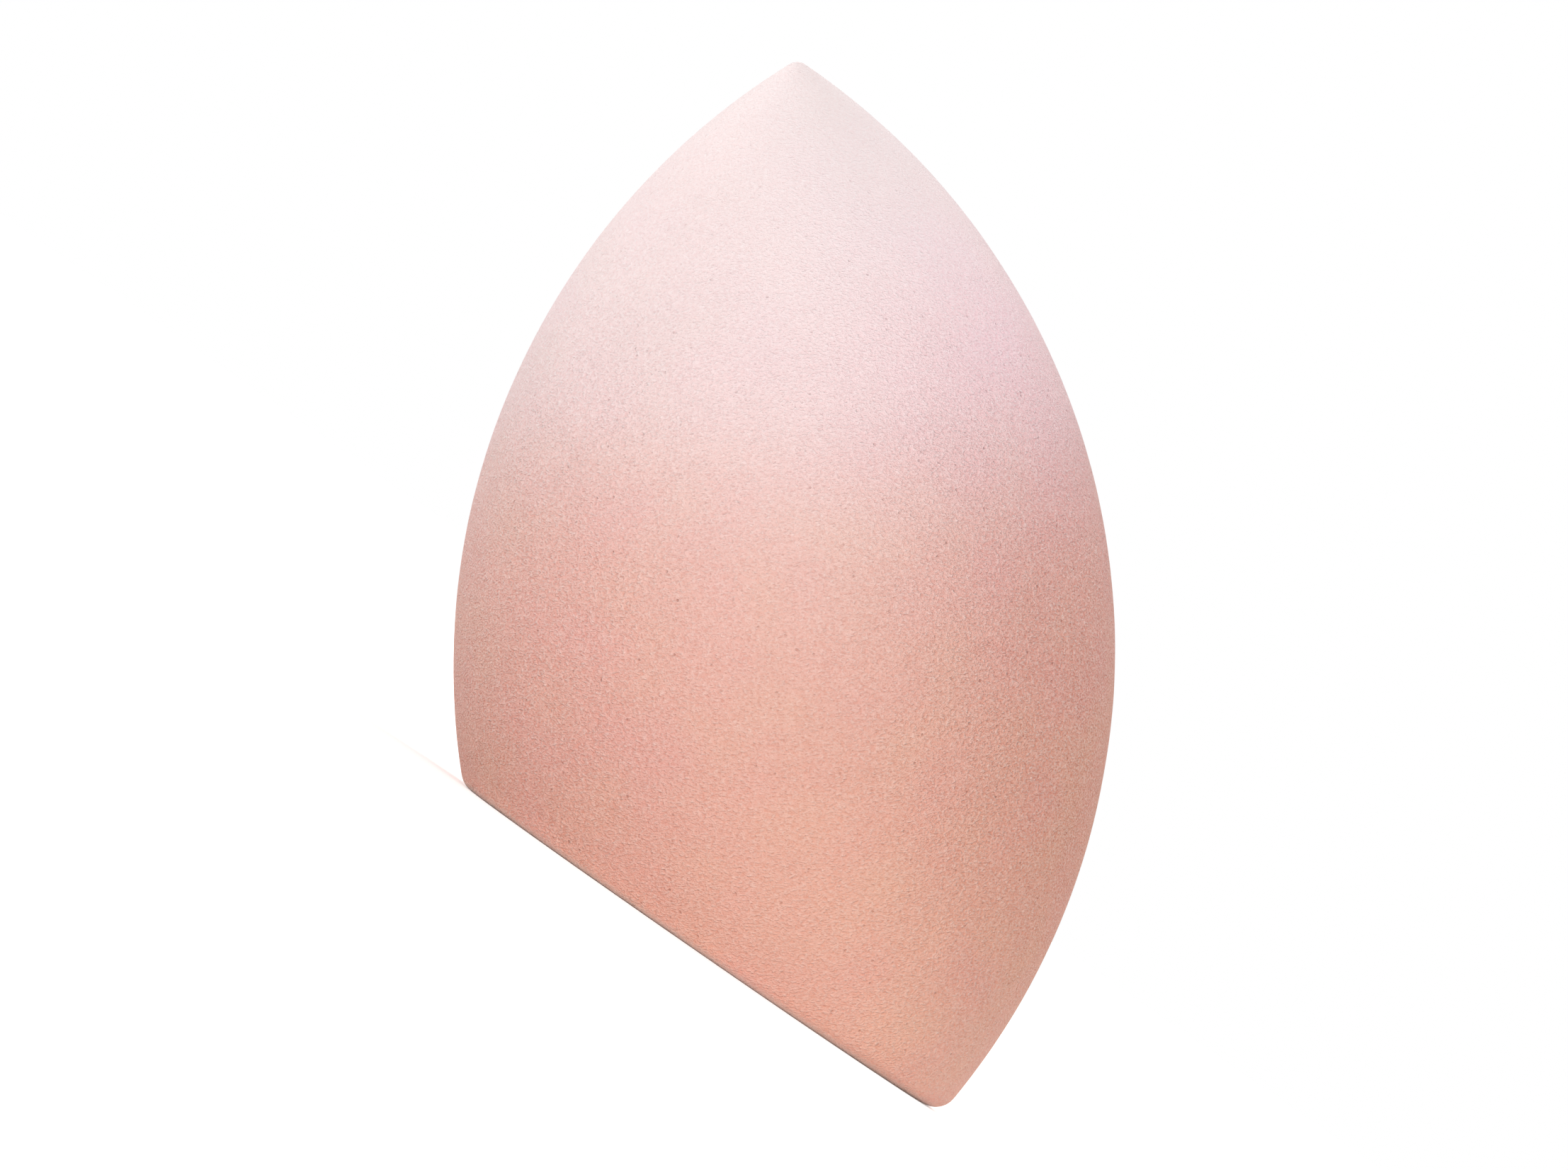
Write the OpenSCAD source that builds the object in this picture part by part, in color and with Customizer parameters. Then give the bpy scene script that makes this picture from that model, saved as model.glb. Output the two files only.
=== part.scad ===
// Makeup sponge: one lemon-shaped piece of soft foam with a slanted flat cut.
// It stands on the cut. The origin is where the lemon's axis meets the cut,
// +Z points up, and the tip leans towards -X in the XZ plane, its mirror plane.

/* [Lemon] */
// Diameter at the widest place
body_d = 40; // [36:0.5:46]
// Length from tip to tip of the whole lemon, before it is cut and eased
uncut_l = 72.4; // [66:0.2:84]

/* [Slanted cut] */
// Angle between the cut and a plane square to the lemon's axis
cut_angle = 33.4; // [10:0.2:45]
// Distance along the axis from the widest place down to the cut
cut_drop = 20.8; // [14:0.2:26]

/* [Eased edges] */
// Radius of the tip
tip_r = 0.8; // [0.4:0.1:1.8]
// Radius of the rim of the cut
rim_r = 1.4; // [0.6:0.1:2.4]

/* [Smoothness] */
// Facets around the lemon
around_n = 72; // [48:8:96]
// Rings along its side
side_n = 24; // [16:2:32]
// Rings over the eased tip, and as many over the eased rim
ease_n = 3; // [2:1:5]

/* [Hidden] */

// Blush, between the pale pink of the tip and the peach of the cut
blush = [0.91, 0.74, 0.68];

// The lemon's side is one arc, turned about the axis, from tip to tip
body_r = body_d / 2;
half_l = uncut_l / 2;
arc_r = (half_l * half_l + body_r * body_r) / (2 * body_r);
// The arc's centre lies this far beyond the axis
arc_set_back = arc_r - body_r;

// A ball of tip_r fills the tip and a ball of rim_r rolls round the rim, both touching the
// side from within: each ball's centre lies on the side's arc drawn in by the ball's radius
rim_arc_r = arc_r - rim_r;
tip_at = acos(arc_set_back / (arc_r - tip_r));

// Directions along the lemon's axis, square to it in the mirror plane, and out of that plane
axis_dir = [-sin(cut_angle), 0, cos(cut_angle)];
cross_dir = [cos(cut_angle), 0, sin(cut_angle)];
depth_dir = [0, 1, 0];
down_dir = [0, 0, -1];

// Out from the axis at the angle turn around it
function out_dir(turn) = cos(turn) * cross_dir + sin(turn) * depth_dir;

// Normal of the side at that turn, at the angle up along the arc from the widest place
function side_normal(turn, up) = cos(up) * out_dir(turn) + sin(up) * axis_dir;

// Point of the side there, or of the side drawn in by inset
function side_point(turn, up, inset = 0) =
    cut_drop * axis_dir - arc_set_back * out_dir(turn) + (arc_r - inset) * side_normal(turn, up);

// Angle along the arc at which the rim's ball touches the side, with its centre rim_r above the cut
function rim_at(turn) =
    let (
        out_rise = out_dir(turn).z,
        axis_rise = axis_dir.z,
        climb = rim_r + arc_set_back * out_rise - cut_drop * axis_rise
    )
    atan2(axis_rise, out_rise) - acos(climb / (rim_arc_r * norm([out_rise, axis_rise])));

// Direction that has swung a share of the way from one unit direction to another
function swung(from, to, share) =
    let (whole = acos(from * to))
    (sin((1 - share) * whole) * from + sin(share * whole) * to) / sin(whole);

// Centre of the ball in the tip
tip_centre = side_point(0, tip_at, tip_r);

// The skin from just below the tip, down the side, round the rim and onto the cut, at one turn
function skin_line(turn) =
    let (rim = rim_at(turn), rim_normal = side_normal(turn, rim))
    [
        for (i = [1:ease_n - 1])
            let (up = 90 + (tip_at - 90) * i / ease_n)
            tip_centre + tip_r * side_normal(turn, up),
        for (i = [0:side_n])
            let (up = tip_at + (rim - tip_at) * i / side_n)
            side_point(turn, up),
        for (i = [1:ease_n])
            side_point(turn, rim, rim_r) + rim_r * swung(rim_normal, down_dir, i / ease_n)
    ];

// A closed skin over lines that all run from a shared first point to a shared last one
module skin_over(first, lines, last) {
    line_n = len(lines);
    point_n = len(lines[0]);
    last_at = 1 + line_n * point_n;
    function at(line, point) = 1 + (line % line_n) * point_n + point;
    polyhedron(
        points = concat([first], [for (line = lines) each line], [last]),
        faces = [
            for (i = [0:line_n - 1]) [0, at(i + 1, 0), at(i, 0)],
            for (i = [0:line_n - 1], j = [0:point_n - 2])
                each [
                    [at(i, j), at(i + 1, j), at(i + 1, j + 1)],
                    [at(i, j), at(i + 1, j + 1), at(i, j + 1)]
                ],
            for (i = [0:line_n - 1]) [last_at, at(i, point_n - 1), at(i + 1, point_n - 1)]
        ]
    );
}

// The whole sponge: its tip, its side, its eased rim and the flat that it stands on
module foam_body() {
    tip = tip_centre + tip_r * axis_dir;
    flat_centre = [0, 0, 0];
    color(blush)
        intersection() {
            skin_over(tip, [for (i = [0:around_n - 1]) skin_line(360 * i / around_n)], flat_centre);
            // All the space above the cut, whose underside makes the flat one whole face
            translate([-uncut_l, -uncut_l, 0]) cube(2 * uncut_l);
        }
}

foam_body();
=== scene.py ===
# Makeup sponge of dyed foam: a lemon turned from one arc, cut flat on the slant and stood on the cut.
import math

import bpy
from mathutils import Matrix, Vector


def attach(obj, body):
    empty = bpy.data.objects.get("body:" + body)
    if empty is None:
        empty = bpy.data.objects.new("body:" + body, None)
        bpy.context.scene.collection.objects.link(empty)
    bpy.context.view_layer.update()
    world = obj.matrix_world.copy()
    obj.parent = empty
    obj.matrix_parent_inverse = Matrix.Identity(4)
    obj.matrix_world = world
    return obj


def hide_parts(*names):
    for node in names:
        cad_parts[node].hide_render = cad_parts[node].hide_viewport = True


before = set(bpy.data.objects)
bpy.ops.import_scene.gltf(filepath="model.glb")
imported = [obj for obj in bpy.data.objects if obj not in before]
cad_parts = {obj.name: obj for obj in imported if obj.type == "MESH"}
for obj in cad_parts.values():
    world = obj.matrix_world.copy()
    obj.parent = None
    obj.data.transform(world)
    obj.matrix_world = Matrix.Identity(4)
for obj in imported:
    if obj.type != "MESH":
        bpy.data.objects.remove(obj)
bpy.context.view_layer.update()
print("frame loaded:", ", ".join(sorted(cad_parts)))

mm = 0.001
noiseMiddle = 0.5  # the values of a Noise Texture lie about this
sameHue = 0.5  # what a Hue/Saturation node takes for no change


def fromHex(code):  # a colour as a picker shows it, in the linear values that nodes take
    parts = [int(code[i:i + 2], 16) / 255 for i in (0, 2, 4)]
    linear = [c / 12.92 if c <= 0.04045 else ((c + 0.055) / 1.055) ** 2.4 for c in parts]
    return (*linear, 1.0)


# Node trees are written as sums: a Wire is a socket, and each sum on it adds a Math node.
class Wire:
    def __init__(self, tree, socket):
        self.tree = tree
        self.socket = socket

    def isVector(self):
        return self.socket.type == "VECTOR"

    def __add__(self, other):
        return reckon(self.tree, "ADD", self, other)

    def __sub__(self, other):
        return reckon(self.tree, "SUBTRACT", self, other)

    def __rsub__(self, other):
        return reckon(self.tree, "SUBTRACT", other, self)

    def __mul__(self, other):
        if self.isVector() and not (isinstance(other, Wire) and other.isVector()):
            return reckon(self.tree, "SCALE", self, other)
        return reckon(self.tree, "MULTIPLY", self, other)

    def __truediv__(self, other):
        return reckon(self.tree, "DIVIDE", self, other)

    def __rtruediv__(self, other):
        return reckon(self.tree, "DIVIDE", other, self)


def feed(tree, socket, value):
    if isinstance(value, Wire):
        tree.links.new(value.socket, socket)
    else:
        socket.default_value = value


def reckon(tree, operation, *terms):
    isVector = any(isinstance(t, Wire) and t.isVector() for t in terms)
    node = tree.nodes.new("ShaderNodeVectorMath" if isVector else "ShaderNodeMath")
    node.operation = operation
    sockets = [node.inputs[0], node.inputs["Scale"]] if operation == "SCALE" else node.inputs
    for socket, term in zip(sockets, terms):
        feed(tree, socket, term)
    hasValue = operation in ("LENGTH", "DOT_PRODUCT")
    return Wire(tree, node.outputs["Value" if hasValue or not isVector else "Vector"])


def place(tree, kind, inputs=None, **settings):
    node = tree.nodes.new(kind)
    for name, value in settings.items():
        setattr(node, name, value)
    for key, value in (inputs or {}).items():
        feed(tree, node.inputs[key], value)
    return node


def output(tree, node, key=0):
    return Wire(tree, node.outputs[key])


def combine(tree, x, y, z):
    return output(tree, place(tree, "ShaderNodeCombineXYZ", {"X": x, "Y": y, "Z": z}))


def separate(vector):
    node = place(vector.tree, "ShaderNodeSeparateXYZ", {"Vector": vector})
    return [output(vector.tree, node, axis) for axis in "XYZ"]


def spread(tree):  # rows of nodes that can be read when the tree is opened
    columns, columnWide, rowHigh = 14, 190, 260
    for i, node in enumerate(tree.nodes):
        node.location = (columnWide * (i % columns), -rowHigh * (i // columns))


# The sponge. Its side is one arc, eased at the tip and round the rim by small balls that touch it
# from within.
sponge = {
    "Body Diameter": 40.0 * mm,  # across its widest place
    "Uncut Length": 72.4 * mm,  # tip to tip of the whole lemon
    "Cut Angle": math.radians(33.4),  # of the cut, from square to the axis
    "Cut Drop": 20.8 * mm,  # along the axis from the widest place down to the cut
    "Tip Radius": 0.8 * mm,
    "Rim Radius": 1.4 * mm,  # where the side turns into the cut
    "Faces Across": 128,  # along each edge of the cube that is wrapped round it
    "Swell Size": 9.0 * mm,  # the slow unevenness of hand-ground foam
    "Swell Height": 0.07 * mm,
    "Pebble Size": 1.5 * mm,  # and a finer one
    "Pebble Height": 0.014 * mm,
    "Unevenness Detail": 2.0,  # finer layers in both
    "Seed": 7,
}


def addSockets(tree, values):
    for name, value in values.items():
        kind = "NodeSocketInt" if isinstance(value, int) else "NodeSocketFloat"
        tree.interface.new_socket(name, in_out="INPUT", socket_type=kind).default_value = value


def makeSkinTree(values):
    tree = bpy.data.node_groups.new("spongeSkin", "GeometryNodeTree")
    addSockets(tree, values)
    tree.interface.new_socket("Foam", in_out="INPUT", socket_type="NodeSocketMaterial")
    tree.interface.new_socket("Geometry", in_out="OUTPUT", socket_type="NodeSocketGeometry")
    given = place(tree, "NodeGroupInput")
    size = {name: output(tree, given, name) for name in [*values, "Foam"]}

    def of(operation, *terms):
        return reckon(tree, operation, *terms)

    # The arc of the side, and how far its centre lies beyond the axis
    bodyR = size["Body Diameter"] / 2
    halfL = size["Uncut Length"] / 2
    tipR = size["Tip Radius"]
    rimR = size["Rim Radius"]
    drop = size["Cut Drop"]
    arcR = (halfL * halfL + bodyR * bodyR) / (bodyR * 2)
    setBack = arcR - bodyR
    tipAt = of("ARCCOSINE", setBack / (arcR - tipR))

    # A cube of even squares, wrapped into a ball: no poles, so no pinched faces at the tip
    corners = size["Faces Across"] + 1
    cube = place(tree, "GeometryNodeMeshCube", {
        "Size": (2, 2, 2), "Vertices X": corners, "Vertices Y": corners, "Vertices Z": corners})
    onCube = separate(output(tree, place(tree, "GeometryNodeInputPosition")))  # -1 to 1 each way
    x, y, z = [of("TANGENT", side * (math.pi / 4)) for side in onCube]  # each square turns as far
    turn = of("ARCTAN2", y, x)
    fromAxis = of("LENGTH", combine(tree, x, y, 0))
    share = of("ARCTAN2", fromAxis, z) / math.pi  # 0 at the tip, 1 under the cut

    # Directions at that turn round the lemon's axis, which leans by the cut's angle
    sinA = of("SINE", size["Cut Angle"])
    cosA = of("COSINE", size["Cut Angle"])
    sinT = of("SINE", turn)
    cosT = of("COSINE", turn)
    axisDir = combine(tree, 0 - sinA, 0, cosA)
    outDir = combine(tree, cosT * cosA, sinT, cosT * sinA)
    downDir = combine(tree, 0, 0, -1)

    def onSide(up, inset):  # the side drawn in by the inset, on which the balls have their centres
        radius = arcR - inset
        outwards = radius * of("COSINE", up) - setBack
        upwards = radius * of("SINE", up) + drop
        return outDir * outwards + axisDir * upwards

    def normal(up):
        return outDir * of("COSINE", up) + axisDir * of("SINE", up)

    # Where the rim's ball touches the side, and how far the skin swings from there round the ball,
    # from the side's normal to straight down
    outRise = cosT * sinA
    climb = rimR + setBack * outRise - drop * cosA
    reach = of("SQRT", outRise * outRise + cosA * cosA)
    rimAt = of("ARCTAN2", cosA, outRise) - of("ARCCOSINE", climb / ((arcR - rimR) * reach))
    swing = of("ARCCOSINE", of("DOT_PRODUCT", normal(rimAt), downDir))
    foot = onSide(rimAt, rimR) * combine(tree, 1, 1, 0)

    # The skin's line from the tip to under the cut: eased tip, side, eased rim and flat
    lengths = [
        tipR * (math.pi / 2 - tipAt),
        arcR * (tipAt - rimAt),
        rimR * swing,
        of("LENGTH", foot),
    ]
    along = share * (lengths[0] + lengths[1] + lengths[2] + lengths[3])
    run = []
    for length in lengths:
        run.append(of("MINIMUM", of("MAXIMUM", along, 0), length))
        along = along - length
    sideTurn = run[1] / arcR
    sideNormal = normal(math.pi / 2 - run[0] / tipR - sideTurn)
    swung = run[2] / rimR
    leaning = sideNormal * of("SINE", swing - swung) + downDir * of("SINE", swung)
    skinNormal = leaning * (1 / of("SINE", swing))
    inset = tipR + (rimR - tipR) * (run[1] / lengths[1])
    skin = onSide(tipAt - sideTurn, inset) + skinNormal * inset - foot * (run[3] / lengths[3])

    # The foam is never quite even; the flat keeps to the table and only dips into the foam
    def unevenness(name):
        noise = place(tree, "ShaderNodeTexNoise", {
            "Vector": skin, "W": size["Seed"], "Scale": 1 / size[name + " Size"],
            "Detail": size["Unevenness Detail"]}, noise_dimensions="4D")
        return (output(tree, noise) - noiseMiddle) * size[name + " Height"]

    uneven = skin + skinNormal * (unevenness("Swell") + unevenness("Pebble"))
    unevenX, unevenY, unevenZ = separate(uneven)
    position = combine(tree, unevenX, unevenY, of("MAXIMUM", unevenZ, 0))

    moved = place(tree, "GeometryNodeSetPosition", {
        "Geometry": output(tree, cube), "Position": position})
    smooth = place(tree, "GeometryNodeSetShadeSmooth", {"Geometry": output(tree, moved)})
    real = place(tree, "GeometryNodeRealizeInstances", {"Geometry": output(tree, smooth)})
    painted = place(tree, "GeometryNodeSetMaterial", {
        "Geometry": output(tree, real), "Material": size["Foam"]})
    place(tree, "NodeGroupOutput", {"Geometry": output(tree, painted)})
    spread(tree)
    return tree


def makeSponge(material):
    tree = makeSkinTree(sponge)
    holder = bpy.data.objects.new("spongeHolder", bpy.data.meshes.new("spongeHolder"))
    bpy.context.scene.collection.objects.link(holder)
    modifier = holder.modifiers.new("spongeSkin", "NODES")
    modifier.node_group = tree
    for item in tree.interface.items_tree:
        if item.in_out == "INPUT":
            modifier[item.identifier] = material if item.name == "Foam" else sponge[item.name]
    evaluated = holder.evaluated_get(bpy.context.evaluated_depsgraph_get())
    mesh = bpy.data.meshes.new_from_object(evaluated)
    mesh.name = "foam_sponge"
    mesh.materials.clear()  # the cube came with an empty slot before the foam's own
    mesh.materials.append(material)
    mesh.polygons.foreach_set("material_index", [0] * len(mesh.polygons))
    bpy.data.objects.remove(holder)
    piece = bpy.data.objects.new("foam_sponge", mesh)
    bpy.context.scene.collection.objects.link(piece)
    return piece


# Foam up close: short wisps of cell wall lying round the body, with a fine pore here and there
grain = {
    "Wisp Length": 0.21 * mm,  # round the body
    "Wisp Width": 0.125 * mm,  # along its axis
    "Wisp Height": 0.145 * mm,
    "Wisp Detail": 1.0,  # finer layers: one, as a second would be too fine to show
    "Wisp Roughness": 0.90,  # how strong that layer is beside the first
    "Wisp Curl": 0.20,
    "Pore Spacing": 0.55 * mm,
    "Pore Radius": 0.10 * mm,
    "Pore Floor": 0.2,  # the flat bottom of a pore, as a share of its radius
    "Pore Depth": 0.060 * mm,
    "Pore Share": 0.3,  # of the cells that are open
    "Pore Shade": 0.5,  # how much painted shade a pore takes, beside the deepest hollow between wisps
}
nap = {
    "atTip": 0.45,  # the wisps lie flatter towards the tip
    "fullBelow": 0.6,  # share of the way up
    "atSides": 2.0,  # and stand so many times as high at the two sides
    "cutPores": 0.35,  # the share of open cells is larger on the cut by so much
    "cutPoreRadius": 0.06 * mm,  # and so is their radius
    "cutEdge": 0.5 * mm,  # how far up the rim the open cells reach
}


def makeGrainGroup():
    group = bpy.data.node_groups.new("foamGrain", "ShaderNodeTree")
    group.interface.new_socket("Vector", in_out="INPUT", socket_type="NodeSocketVector")
    addSockets(group, grain)
    group.interface.new_socket("Height", in_out="OUTPUT", socket_type="NodeSocketFloat")
    group.interface.new_socket("Cavity", in_out="OUTPUT", socket_type="NodeSocketFloat")
    given = place(group, "NodeGroupInput")
    size = {name: output(group, given, name) for name in ["Vector", *grain]}

    stretched = size["Vector"] * combine(
        group, 1 / size["Wisp Length"], 1 / size["Wisp Length"], 1 / size["Wisp Width"])
    wisps = output(group, place(group, "ShaderNodeTexNoise", {
        "Vector": stretched, "Scale": 1.0, "Detail": size["Wisp Detail"],
        "Roughness": size["Wisp Roughness"], "Distortion": size["Wisp Curl"]}))
    cells = place(group, "ShaderNodeTexVoronoi", {
        "Vector": size["Vector"], "Scale": 1 / size["Pore Spacing"]})
    distance = output(group, cells, "Distance") * size["Pore Spacing"]
    chance = separate(output(group, cells, "Color"))[0]
    isPore = reckon(group, "LESS_THAN", chance, size["Pore Share"])
    hole = output(group, place(group, "ShaderNodeMapRange", {
        "Value": distance / size["Pore Radius"], "From Min": 1.0, "From Max": size["Pore Floor"]},
        interpolation_type="SMOOTHSTEP"))
    pore = hole * isPore
    # The cavity runs from -1 on top of the wisps to 1 in the deepest hollow between them
    place(group, "NodeGroupOutput", {
        "Height": wisps * size["Wisp Height"] - pore * size["Pore Depth"],
        "Cavity": (noiseMiddle - wisps) * 2 + pore * size["Pore Shade"]})
    spread(group)
    return group


# The dye runs from pale pink at the tip through dusty rose to peach at the cut.
# Among its entries are painted light and shade: some of the pools, the rim, the lowest bands and the
# grain's hollows.
dye = {
    "lowest": -7.0 * mm,  # along the lemon's axis from the middle of the cut
    "highest": 57.0 * mm,
    "bands": [  # share of the way up, colour
        # The two lowest bands are lighter than the peach above them: painted light against the shade
        # near the floor
        (0.00, "fac2af"),
        (0.15, "eeb9a6"),
        (0.30, "e5b09f"),
        (0.42, "e4b3a4"),
        (0.54, "e8beb3"),
        (0.62, "eecdc7"),
        (0.68, "f1d8d7"),
        (0.80, "f4dfde"),
        (1.00, "faecea"),
    ],
    "sag": 1.5 * mm,  # the bands hang lower in front and behind than at the two sides
    "wander": 1.6 * mm,  # and wander up and down
    "wanderSize": 14.0 * mm,
    "wanderSeed": 3.0,  # each of the dye's noises has its own
    # Where the dye pooled or ran thin, with painted shade and a painted highlight among them: middle
    # across, in depth and along the axis, radius, both in mm, colour, strength
    "dyePoolsAndPaintedLight": [
        # painted shade: the right lobe darker and pinker
        ((18, -8, 28), 13, "e5958a", 0.45),
        # painted shade on the left lobe
        ((-14, -14, 22), 13, "f7b6aa", 0.45),
        ((18, -4, 8), 16, "e1967a", 0.45),
        ((13, -10, 42), 10, "ffd2dc", 0.60),
        # painted highlight on the upper right
        ((8, -12, 52), 12, "fff2f3", 0.55),
        # painted shade on the upper left
        ((-9, -13, 50), 12, "ebd2d1", 0.50),
    ],
    "rimPaintedLight": [  # painted light on the rim, the paler the nearer it is to the cut, against the shade where the rim turns under towards the floor: height, colour, strength
        (1.4 * mm, "ffc6b3", 0.6),
        (0.5 * mm, "ffe2d5", 0.8),
    ],
    "driftSize": 5.0 * mm,  # mottles, in hue and in brightness
    "driftHue": 0.020,
    "hueSeed": 11.0,
    "driftValue": 0.05,
    "valueSeed": 23.0,
    "valueDetail": 2.0,
    "paintedShadeInGrain": 0.46,  # painted shade: how much the colour darkens down in the grain's hollows
    "paintedShadeAtSides": 2.2,  # and how many times that painted shade at the two sides
}
finish = {
    "roughness": 0.95,
    "sheen": 0.12,  # the fine fuzz of cut cell walls
    "specular": 0.2,
}


def makeFoam():
    material = bpy.data.materials.new("dyedFoam")
    material.use_nodes = True
    tree = material.node_tree
    tree.nodes.clear()
    onObject = output(tree, place(tree, "ShaderNodeTexCoord"), "Object")
    spot = output(tree, place(tree, "ShaderNodeMapping", {
        "Vector": onObject, "Rotation": (0.0, sponge["Cut Angle"], 0.0)}))
    across, depth, along = separate(spot)
    bodyR = sponge["Body Diameter"] / 2

    def fade(value, start, end, low=0.0, high=1.0):
        return output(tree, place(tree, "ShaderNodeMapRange", {
            "Value": value, "From Min": start, "From Max": end, "To Min": low, "To Max": high},
            interpolation_type="SMOOTHSTEP"))

    def noise(size, seed, detail=1.0):
        node = place(tree, "ShaderNodeTexNoise", {
            "Vector": spot, "W": seed, "Scale": 1 / size, "Detail": detail}, noise_dimensions="4D")
        return output(tree, node) - noiseMiddle

    # The grain, with more open cells on the cut
    onCut = fade(separate(onObject)[2], nap["cutEdge"], 0.0)
    cells = place(tree, "ShaderNodeGroup", node_tree=makeGrainGroup())
    for name, value in grain.items():
        cells.inputs[name].default_value = value
    feed(tree, cells.inputs["Vector"], spot)
    feed(tree, cells.inputs["Pore Share"], onCut * nap["cutPores"] + grain["Pore Share"])
    feed(tree, cells.inputs["Pore Radius"], onCut * nap["cutPoreRadius"] + grain["Pore Radius"])

    # The bands of dye
    sag = depth * depth * (dye["sag"] / bodyR ** 2)
    onBands = along + sag + noise(dye["wanderSize"], dye["wanderSeed"]) * dye["wander"]
    level = output(tree, place(tree, "ShaderNodeMapRange", {
        "Value": onBands, "From Min": dye["lowest"], "From Max": dye["highest"]}))
    ramp = place(tree, "ShaderNodeValToRGB", {"Fac": level})
    ramp.color_ramp.interpolation = "B_SPLINE"
    stops = ramp.color_ramp.elements
    while len(stops) < len(dye["bands"]):
        stops.new(0.5)  # anywhere: each is moved to its place below
    for stop, (share, code) in zip(stops, dye["bands"]):
        stop.position = share
        stop.color = fromHex(code)
    colour = output(tree, ramp)

    # A Mix node's sockets for colours, which share their names with others, go by number
    factor, first, second, result = 0, 6, 7, 2

    def mixedTowards(share, code):
        mix = place(tree, "ShaderNodeMix", {
            factor: share, first: colour, second: fromHex(code)}, data_type="RGBA")
        return output(tree, mix, result)

    # The dye's pools with the painted shade and highlight among them, the painted light on the rim, the
    # mottles, and the painted shade down in the grain
    for middle, radius, code, strength in dye["dyePoolsAndPaintedLight"]:
        offset = reckon(tree, "SUBTRACT", spot, tuple(c * mm for c in middle))
        reach = reckon(tree, "LENGTH", offset) / (radius * mm)
        colour = mixedTowards(reckon(tree, "EXPONENT", reach * reach * -1.0) * strength, code)
    # Painted light on the rim near the cut
    for high, code, strength in dye["rimPaintedLight"]:
        colour = mixedTowards(fade(separate(onObject)[2], high, 0.0, 0.0, strength), code)
    hueDrift = noise(dye["driftSize"], dye["hueSeed"]) * dye["driftHue"]
    valueDrift = noise(dye["driftSize"], dye["valueSeed"], dye["valueDetail"]) * dye["driftValue"]
    mottled = place(tree, "ShaderNodeHueSaturation", {
        "Color": colour, "Hue": hueDrift + sameHue, "Value": valueDrift + 1.0})
    side = across * across / bodyR ** 2  # 0 in the middle, 1 at the two sides of the widest place

    def growing(times):  # from 1 in the middle to so many times at the two sides
        return side * (times - 1.0) + 1.0

    # Painted shade down in the grain's hollows, stronger at the two sides
    hollowShade = growing(dye["paintedShadeAtSides"]) * dye["paintedShadeInGrain"]
    shadedInHollows = place(tree, "ShaderNodeGamma", {
        "Color": output(tree, mottled), "Gamma": output(tree, cells, "Cavity") * hollowShade + 1.0})

    # How far the grain stands up, in metres
    lift = fade(level, 1.0, nap["fullBelow"], nap["atTip"], 1.0) * growing(nap["atSides"])
    bump = place(tree, "ShaderNodeBump", {
        "Height": output(tree, cells, "Height") * lift, "Strength": 1.0, "Distance": 1.0})
    shader = place(tree, "ShaderNodeBsdfPrincipled", {
        "Base Color": output(tree, shadedInHollows), "Roughness": finish["roughness"],
        "Specular IOR Level": finish["specular"], "Sheen Weight": finish["sheen"],
        "Normal": output(tree, bump)})
    place(tree, "ShaderNodeOutputMaterial", {"Surface": output(tree, shader)})
    spread(tree)
    return material


foam = makeFoam()
print("foam:", len(dye["bands"]), "bands of dye,", len(dye["dyePoolsAndPaintedLight"]), "dyePoolsAndPaintedLight")
piece = makeSponge(foam)
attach(piece, "root")
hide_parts("foam_body")
print("sponge:", len(piece.data.polygons), "faces")


# The studio: a pale floor that only the camera sees as pure white, a soft even sky and three softboxes
studio = {
    "floorSide": 6.0,  # metres
    "floorColour": (0.94, 0.94, 0.94, 1.0),
    # What the camera sees added to the floor, near the sponge and far off where no lamp reaches,
    # and the metres from the sponge over which the one turns into the other
    "floorLift": (0.40, 0.66),
    "liftBetween": (0.12, 0.90),
    "skyColour": (1.0, 1.0, 1.0, 1.0),
    "skyLevel": 0.405,
    "distance": 0.8,  # metres from the sponge to each softbox
    # Name, azimuth and height in degrees, width and height in metres, level at the sponge
    "softboxes": [
        ("key", -6, 20, 0.80, 0.54, 0.645),
        ("leftRim", -120, 12, 0.60, 0.26, 0.42),
        ("rightRim", 148, 40, 0.50, 0.50, 0.52),
    ],
}


def seenShare(tree):  # 1 for the rays that look at the background itself
    path = place(tree, "ShaderNodeLightPath")
    names = ("Is Camera Ray", "Is Glossy Ray", "Is Transmission Ray")
    looks = [output(tree, path, name) for name in names]
    return reckon(tree, "MAXIMUM", reckon(tree, "MAXIMUM", looks[0], looks[1]), looks[2])


def makeFloor():
    half = studio["floorSide"] / 2
    mesh = bpy.data.meshes.new("floor")
    corners = [(-half, -half, 0), (half, -half, 0), (half, half, 0), (-half, half, 0)]
    mesh.from_pydata(corners, [], [(0, 1, 2, 3)])
    floor = bpy.data.objects.new("floor", mesh)
    bpy.context.scene.collection.objects.link(floor)
    material = bpy.data.materials.new("paleFloor")
    material.use_nodes = True
    tree = material.node_tree
    tree.nodes.clear()
    matt = place(tree, "ShaderNodeBsdfDiffuse", {"Color": studio["floorColour"]})
    away = reckon(tree, "LENGTH", output(tree, place(tree, "ShaderNodeTexCoord"), "Object"))
    near, far = studio["liftBetween"]
    liftNear, liftFar = studio["floorLift"]
    added = place(tree, "ShaderNodeMapRange", {
        "Value": away, "From Min": near, "From Max": far, "To Min": liftNear, "To Max": liftFar},
        interpolation_type="SMOOTHSTEP")
    lift = place(tree, "ShaderNodeEmission", {"Strength": seenShare(tree) * output(tree, added)})
    both = place(tree, "ShaderNodeAddShader", {0: output(tree, matt), 1: output(tree, lift)})
    place(tree, "ShaderNodeOutputMaterial", {"Surface": output(tree, both)})
    spread(tree)
    mesh.materials.append(material)


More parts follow.
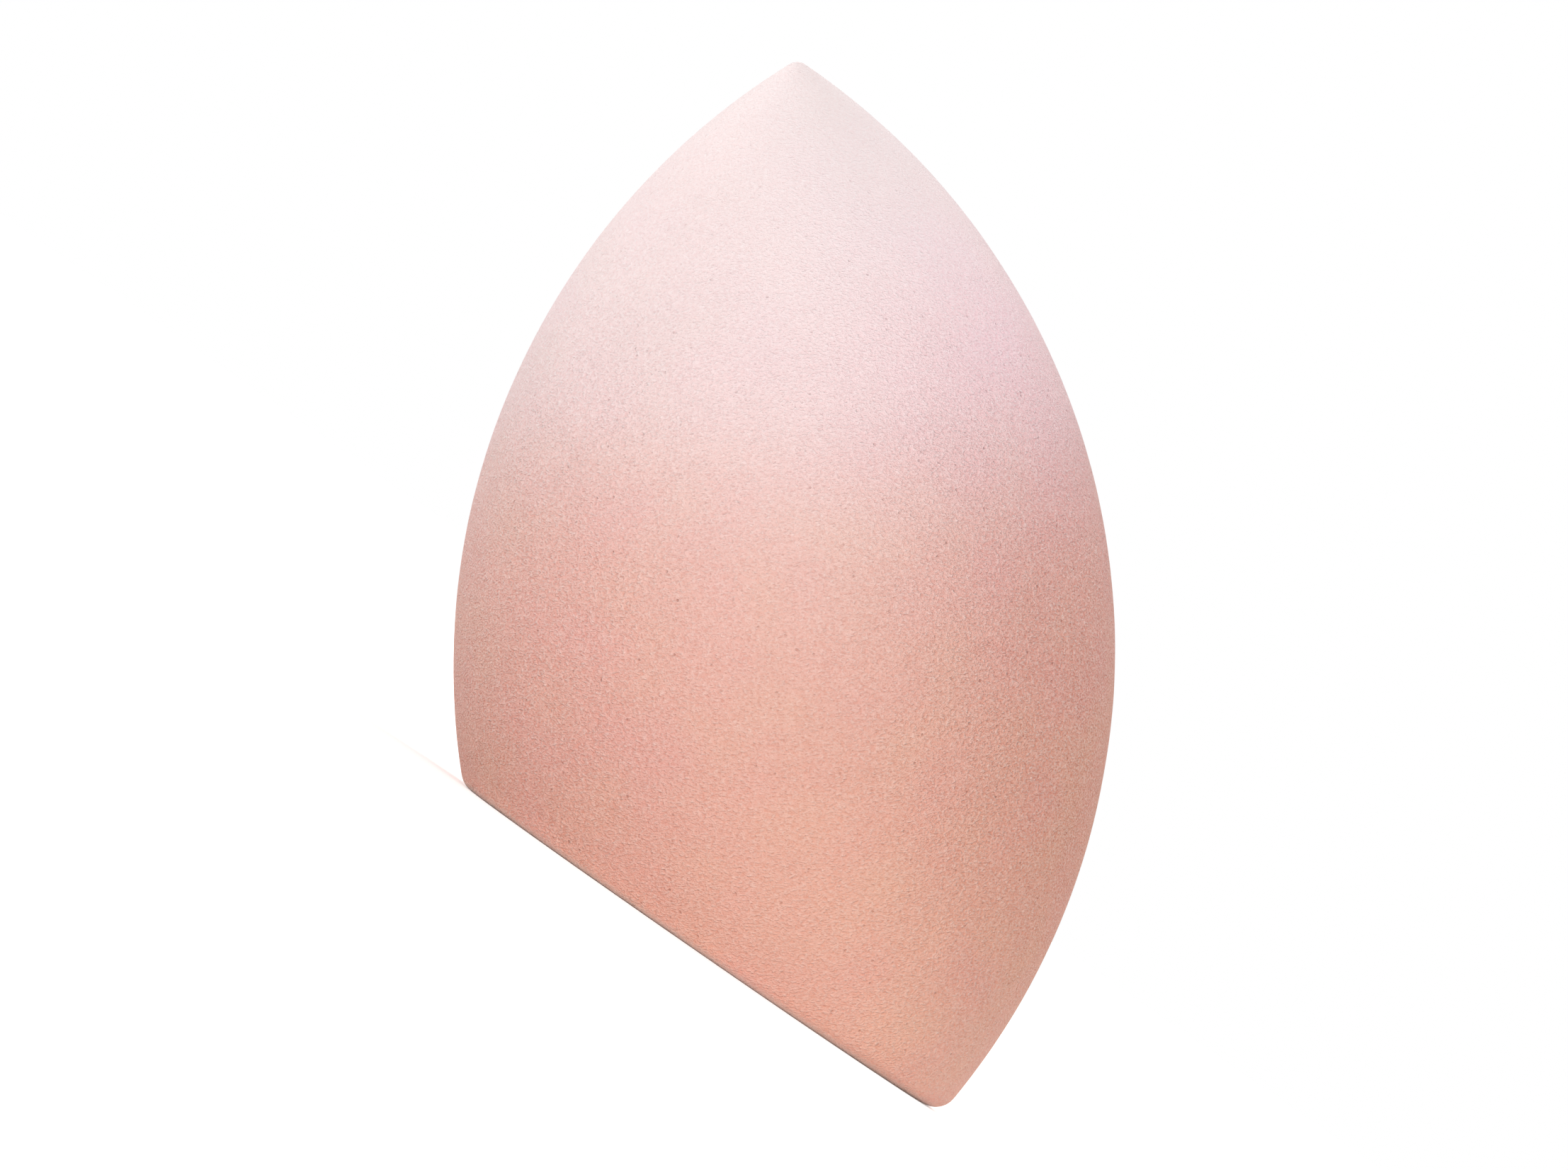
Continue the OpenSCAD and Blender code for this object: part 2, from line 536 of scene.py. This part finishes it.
def makeSky():
    world = bpy.data.worlds.new("softSky")
    world.use_nodes = True
    tree = world.node_tree
    tree.nodes.clear()
    level = seenShare(tree) * (1 - studio["skyLevel"]) + studio["skyLevel"]
    sky = place(tree, "ShaderNodeBackground", {"Color": studio["skyColour"], "Strength": level})
    place(tree, "ShaderNodeOutputWorld", {"Surface": output(tree, sky)})
    spread(tree)
    bpy.context.scene.world = world


def makeSoftbox(name, azimuth, elevation, wide, high, level):
    turn, rise = math.radians(azimuth), math.radians(elevation)
    towards = Vector((math.sin(turn) * math.cos(rise), -math.cos(turn) * math.cos(rise), math.sin(rise)))
    data = bpy.data.lights.new(name, "AREA")
    data.shape = "RECTANGLE"
    data.size = wide
    data.size_y = high
    # A white card that faces the lamp from where the sponge stands renders at this level
    data.energy = level * (math.pi * studio["distance"]) ** 2
    lamp = bpy.data.objects.new(name, data)
    lamp.location = towards * studio["distance"]
    lamp.rotation_mode = "QUATERNION"
    lamp.rotation_quaternion = towards.to_track_quat("Z", "Y")
    lamp.visible_camera = False
    bpy.context.scene.collection.objects.link(lamp)


makeFloor()
makeSky()
for softbox in studio["softboxes"]:
    makeSoftbox(*softbox)
print("studio:", len(studio["softboxes"]), "softboxes")


# The camera, turned about its own axis so that the lemon stands upright in the picture
view = {
    "aim": Vector((-13.96, 0.0, 20.97)) * mm,  # what the middle of the picture shows
    "distance": 1.0,  # metres from there
    "elevation": math.radians(-0.25),  # it looks up by so little, nearly along the table
    "roll": math.radians(34.68),
    "pictureWide": 2214,  # pixels
    "pixelsPerMm": 23.346,
    "sensor": 36.0,  # millimetres wide
}


def makeCamera():
    data = bpy.data.cameras.new("camera")
    data.sensor_width = view["sensor"]
    data.lens = view["sensor"] * view["pixelsPerMm"] / mm * view["distance"] / view["pictureWide"]
    rise = view["elevation"]
    right = Vector((1, 0, 0))
    back = Vector((0, -math.cos(rise), math.sin(rise)))
    up = Vector((0, math.sin(rise), math.cos(rise)))
    pictureRight = right * math.cos(view["roll"]) + up * math.sin(view["roll"])
    pictureUp = up * math.cos(view["roll"]) - right * math.sin(view["roll"])
    turned = Matrix((pictureRight, pictureUp, back)).transposed().to_4x4()
    camera = bpy.data.objects.new("camera", data)
    camera.matrix_world = Matrix.Translation(view["aim"] + back * view["distance"]) @ turned
    bpy.context.scene.collection.objects.link(camera)
    bpy.context.scene.camera = camera


makeCamera()
bpy.context.scene.view_settings.view_transform = "Standard"
print("camera set")
